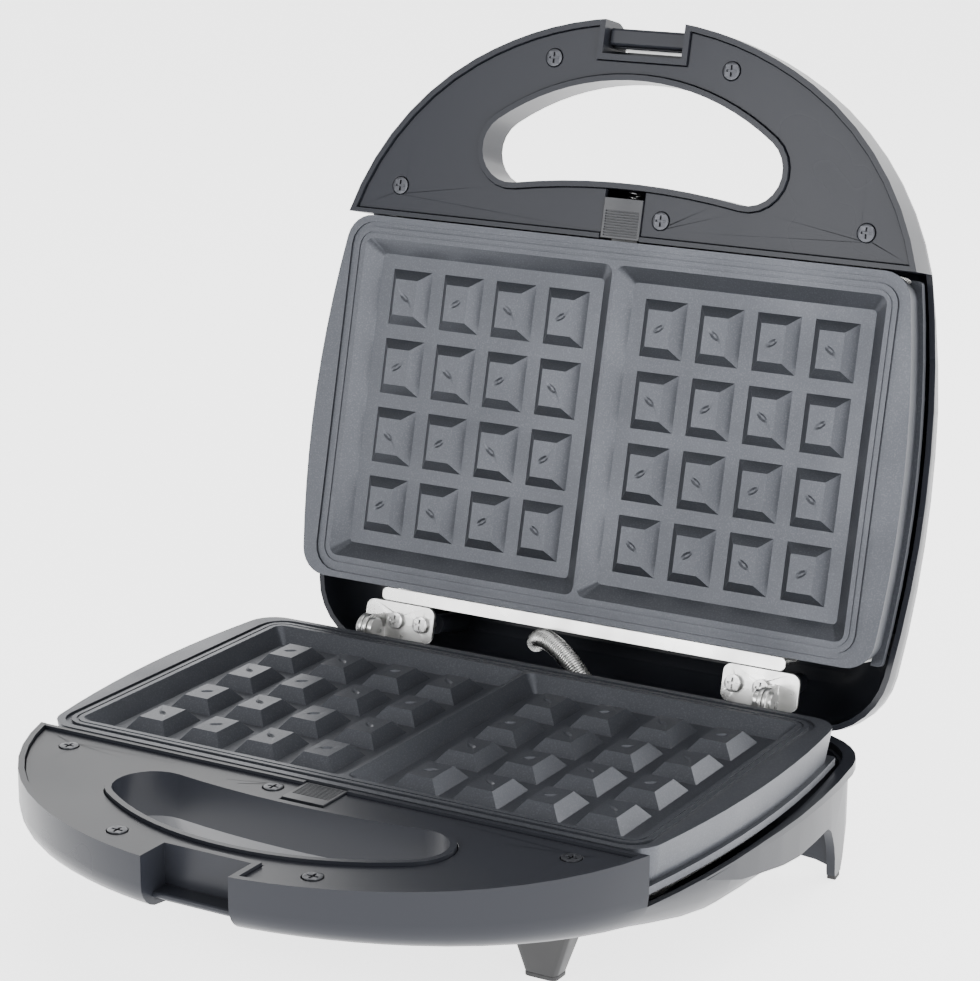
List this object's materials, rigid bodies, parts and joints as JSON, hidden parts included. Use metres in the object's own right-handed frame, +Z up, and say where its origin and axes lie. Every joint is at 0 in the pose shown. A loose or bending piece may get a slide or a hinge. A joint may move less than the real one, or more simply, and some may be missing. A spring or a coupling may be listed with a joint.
{
  "type": "waffle maker",
  "caption": "Two-slice rectangular waffle maker, opened: rounded body, D-shaped hand-hole handles, removable plates, front latch clip.",
  "frame": {"origin": "On the surface that it stands on, under the middle of the box of the opened waffle maker.", "axes": "+X across the front to the right, +Y from the handle to the hinge, +Z up."},
  "size_m": [0.2346, 0.3066, 0.263],
  "materials": {
    "cover_plastic": "dark blue-grey moulded plastic with a satin gloss",
    "plate_coating": "cast aluminium with a dark grey speckled non-stick coating",
    "reflector_steel": "bright aluminised sheet steel",
    "plated_steel": "zinc-plated pressed steel",
    "screw_steel": "plated screw steel",
    "spring_steel": "close-coiled bright spring wire",
    "heater_sheath": "oxidised steel heater sheath",
    "ceramic": "white steatite ceramic",
    "slider_plastic": "dark grey satin plastic with fine ribs",
    "rubber": "black moulded rubber",
    "foot_plastic": "black moulded plastic, slightly grained",
    "red_lens": "clear red moulded lens",
    "green_lens": "clear green moulded lens",
    "lamp_glass": "small neon lamp glass"
  },
  "bodies": {
    "base": {"base_cover": "cover_plastic", "base_handle_cover": "cover_plastic", "base_handle_screws": "screw_steel", "base_plate": "plate_coating", "base_reflector": "reflector_steel", "base_reflector_screws": "screw_steel", "base_heating_element": "heater_sheath", "base_element_clips": "plated_steel", "base_element_insulators": "ceramic", "base_slider_spring": "spring_steel", "base_bracket_left": "plated_steel", "base_bracket_right": "plated_steel", "base_bracket_screws": "screw_steel", "hinge_pin_left": "plated_steel", "hinge_pin_right": "plated_steel", "front_feet": "foot_plastic", "foot_pads": "rubber", "power_inlet": "rubber", "thermostat": "plated_steel", "thermal_fuse": "ceramic", "terminal_block": "ceramic", "wiring_spring_tube": "spring_steel"},
    "lid": {"lid_cover": "cover_plastic", "lid_handle_cover": "cover_plastic", "lid_handle_screws": "screw_steel", "lid_plate": "plate_coating", "lid_reflector": "reflector_steel", "lid_reflector_screws": "screw_steel", "lid_heating_element": "heater_sheath", "lid_element_clips": "plated_steel", "lid_element_insulators": "ceramic", "lid_slider_spring": "spring_steel", "lid_bracket_left": "plated_steel", "lid_bracket_right": "plated_steel", "lid_bracket_screws": "screw_steel", "power_lens": "red_lens", "ready_lens": "green_lens", "lamp_bulbs": "lamp_glass", "latch_pin": "plated_steel"},
    "base_slider": {"base_slider": "slider_plastic"},
    "lid_slider": {"lid_slider": "slider_plastic"},
    "latch": {"latch_clip": "cover_plastic"}
  },
  "joints": [
    {"name": "lid_hinge", "type": "hinge", "parent": "base", "child": "lid", "pos_m": [0, 0.06837, 0.0487], "axis": [1, 0, 0], "range_deg": [0, 103.3], "deforming": ["wiring_spring_tube"]},
    {"name": "latch_hinge", "type": "hinge", "parent": "lid", "child": "latch", "pos_m": [0, 0.12911, 0.25609], "axis": [1, 0, 0], "range_deg": [0, 180]},
    {"name": "base_release", "type": "slide", "parent": "base", "child": "base_slider", "axis": [0, -1, 0], "range_m": [0, 0.003], "stiffness_N_per_m": 300, "springref_m": -0.003, "deforming": ["base_slider_spring"]},
    {"name": "lid_release", "type": "slide", "parent": "lid", "child": "lid_slider", "axis": [0, 0.23, 0.9732], "range_m": [0, 0.003], "stiffness_N_per_m": 300, "springref_m": -0.003, "deforming": ["lid_slider_spring"]}
  ]
}
